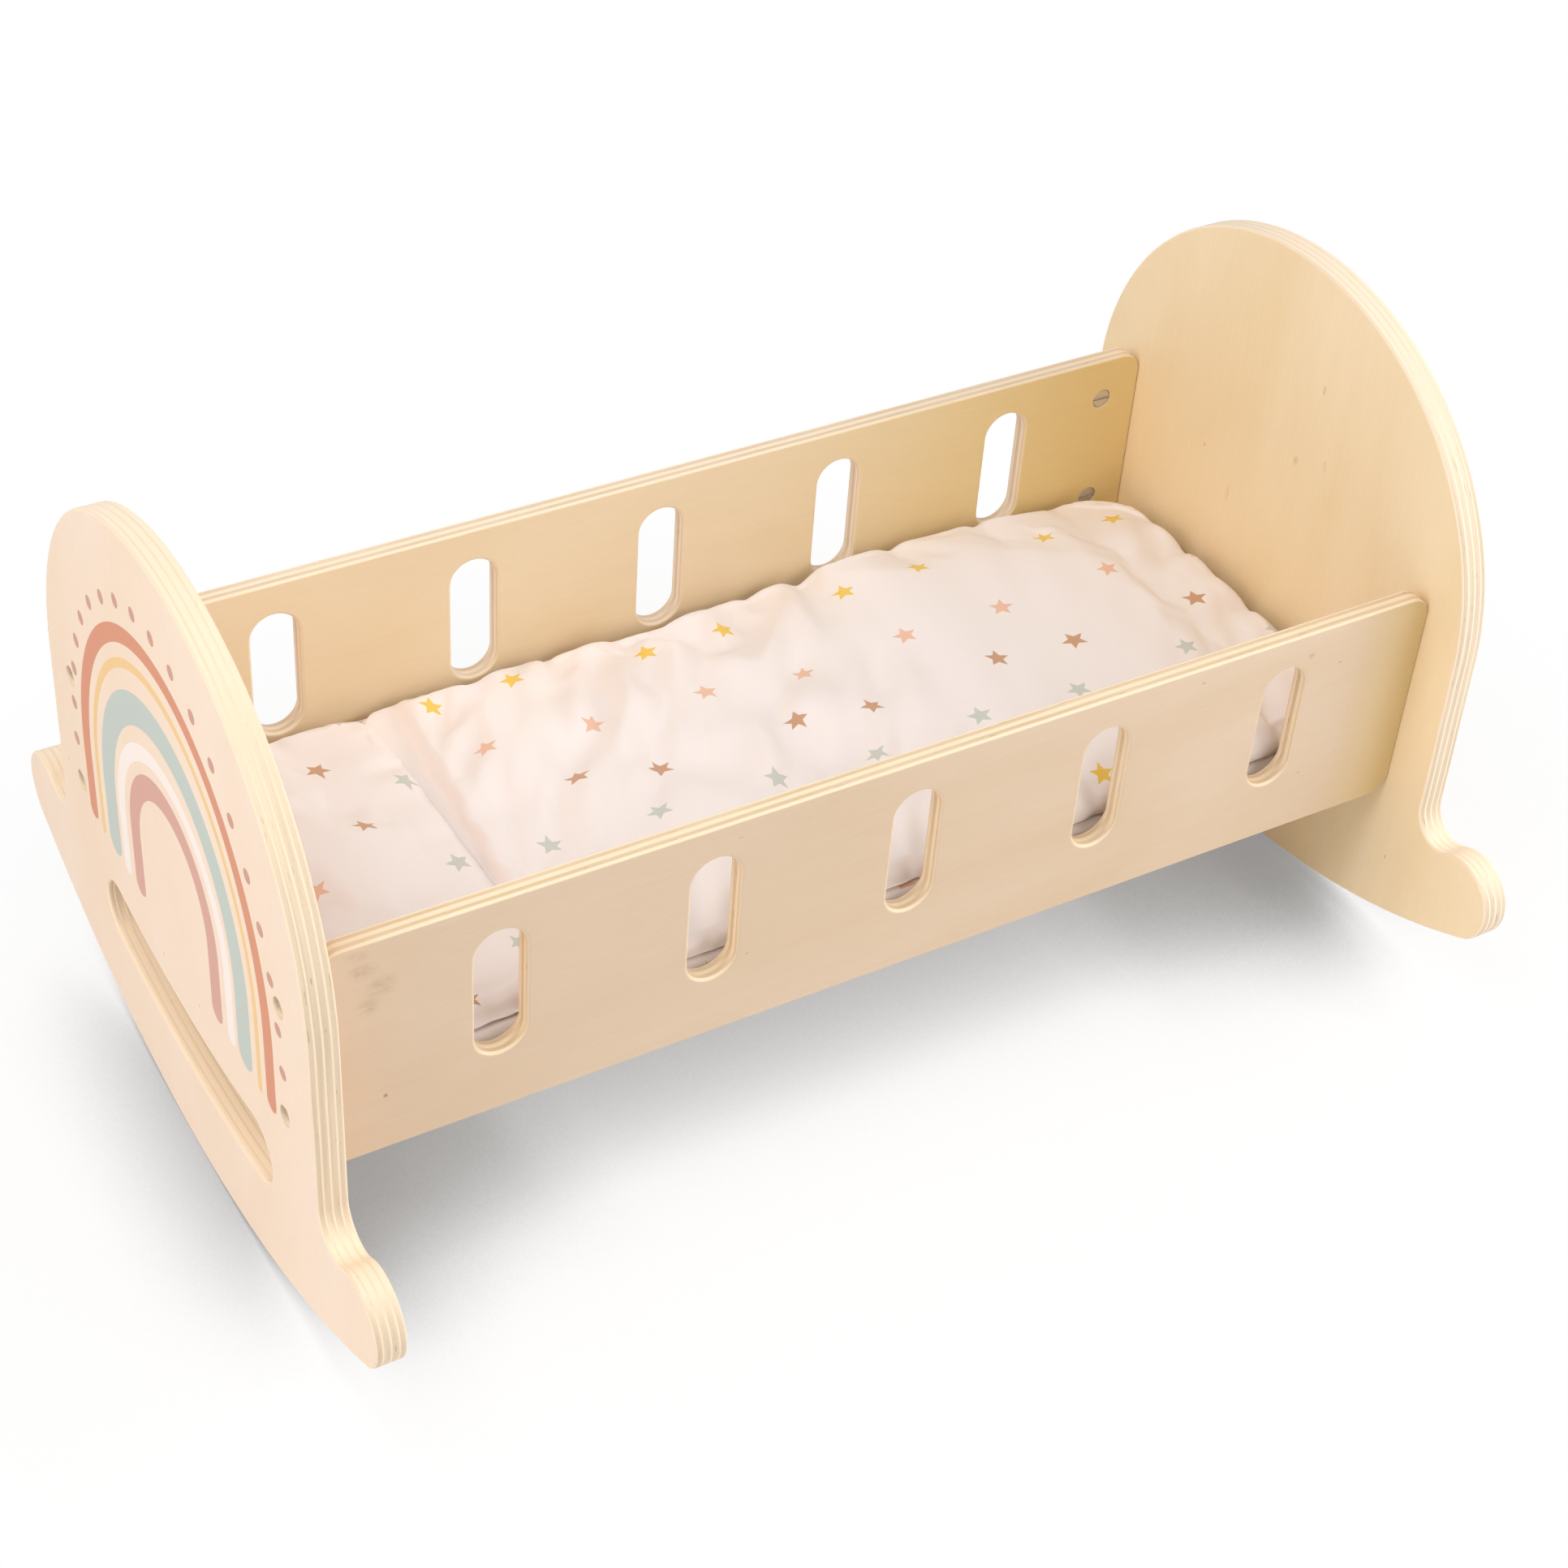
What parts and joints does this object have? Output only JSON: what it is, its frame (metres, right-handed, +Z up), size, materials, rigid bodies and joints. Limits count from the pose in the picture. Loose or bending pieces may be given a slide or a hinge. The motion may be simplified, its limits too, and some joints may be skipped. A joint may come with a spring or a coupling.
{
  "type": "doll cradle",
  "caption": "Rocking doll cradle with arch-topped plywood end panels on curved rockers, slotted side panels, a base board, and a mattress, quilt and pillow.",
  "frame": {"origin": "on the floor, below the middle of the cradle", "axes": "+X along the cradle from the head panel to the foot panel, +Y across it to the left side panel, +Z up"},
  "size_m": [0.504, 0.3486, 0.274],
  "materials": {
    "plywood": "light plywood, sanded and clear lacquered, plies showing on the edges",
    "base_plywood": "thin light plywood, sanded",
    "plated_steel": "zinc plated, satin",
    "mattress_fabric": "plain off-white woven cotton over thin wadding",
    "star_fabric": "pale pink-white woven cotton with a scatter of small five-point stars"
  },
  "bodies": {
    "cradle": {"head_panel": "plywood", "foot_panel": "plywood", "side_panel_left": "plywood", "side_panel_right": "plywood", "base_board": "base_plywood", "bolt_head_left_lower": "plated_steel", "bolt_head_left_upper": "plated_steel", "bolt_foot_left_lower": "plated_steel", "bolt_foot_left_upper": "plated_steel", "bolt_head_right_lower": "plated_steel", "bolt_head_right_upper": "plated_steel", "bolt_foot_right_lower": "plated_steel", "bolt_foot_right_upper": "plated_steel", "barrel_nut_head_left_lower": "plated_steel", "barrel_nut_head_left_upper": "plated_steel", "barrel_nut_foot_left_lower": "plated_steel", "barrel_nut_foot_left_upper": "plated_steel", "barrel_nut_head_right_lower": "plated_steel", "barrel_nut_head_right_upper": "plated_steel", "barrel_nut_foot_right_lower": "plated_steel", "barrel_nut_foot_right_upper": "plated_steel"},
    "mattress": {"mattress": "mattress_fabric"},
    "quilt": {"quilt": "star_fabric"},
    "pillow": {"pillow": "star_fabric"}
  },
  "joints": [
    {"name": "mattress_lift", "type": "slide", "parent": "cradle", "child": "mattress", "axis": [0, 0, 1], "range_m": [0, 0.18]},
    {"name": "quilt_lift", "type": "slide", "parent": "mattress", "child": "quilt", "axis": [0, 0, 1], "range_m": [0, 0.12]},
    {"name": "pillow_lift", "type": "slide", "parent": "mattress", "child": "pillow", "axis": [0, 0, 1], "range_m": [0, 0.12]}
  ]
}
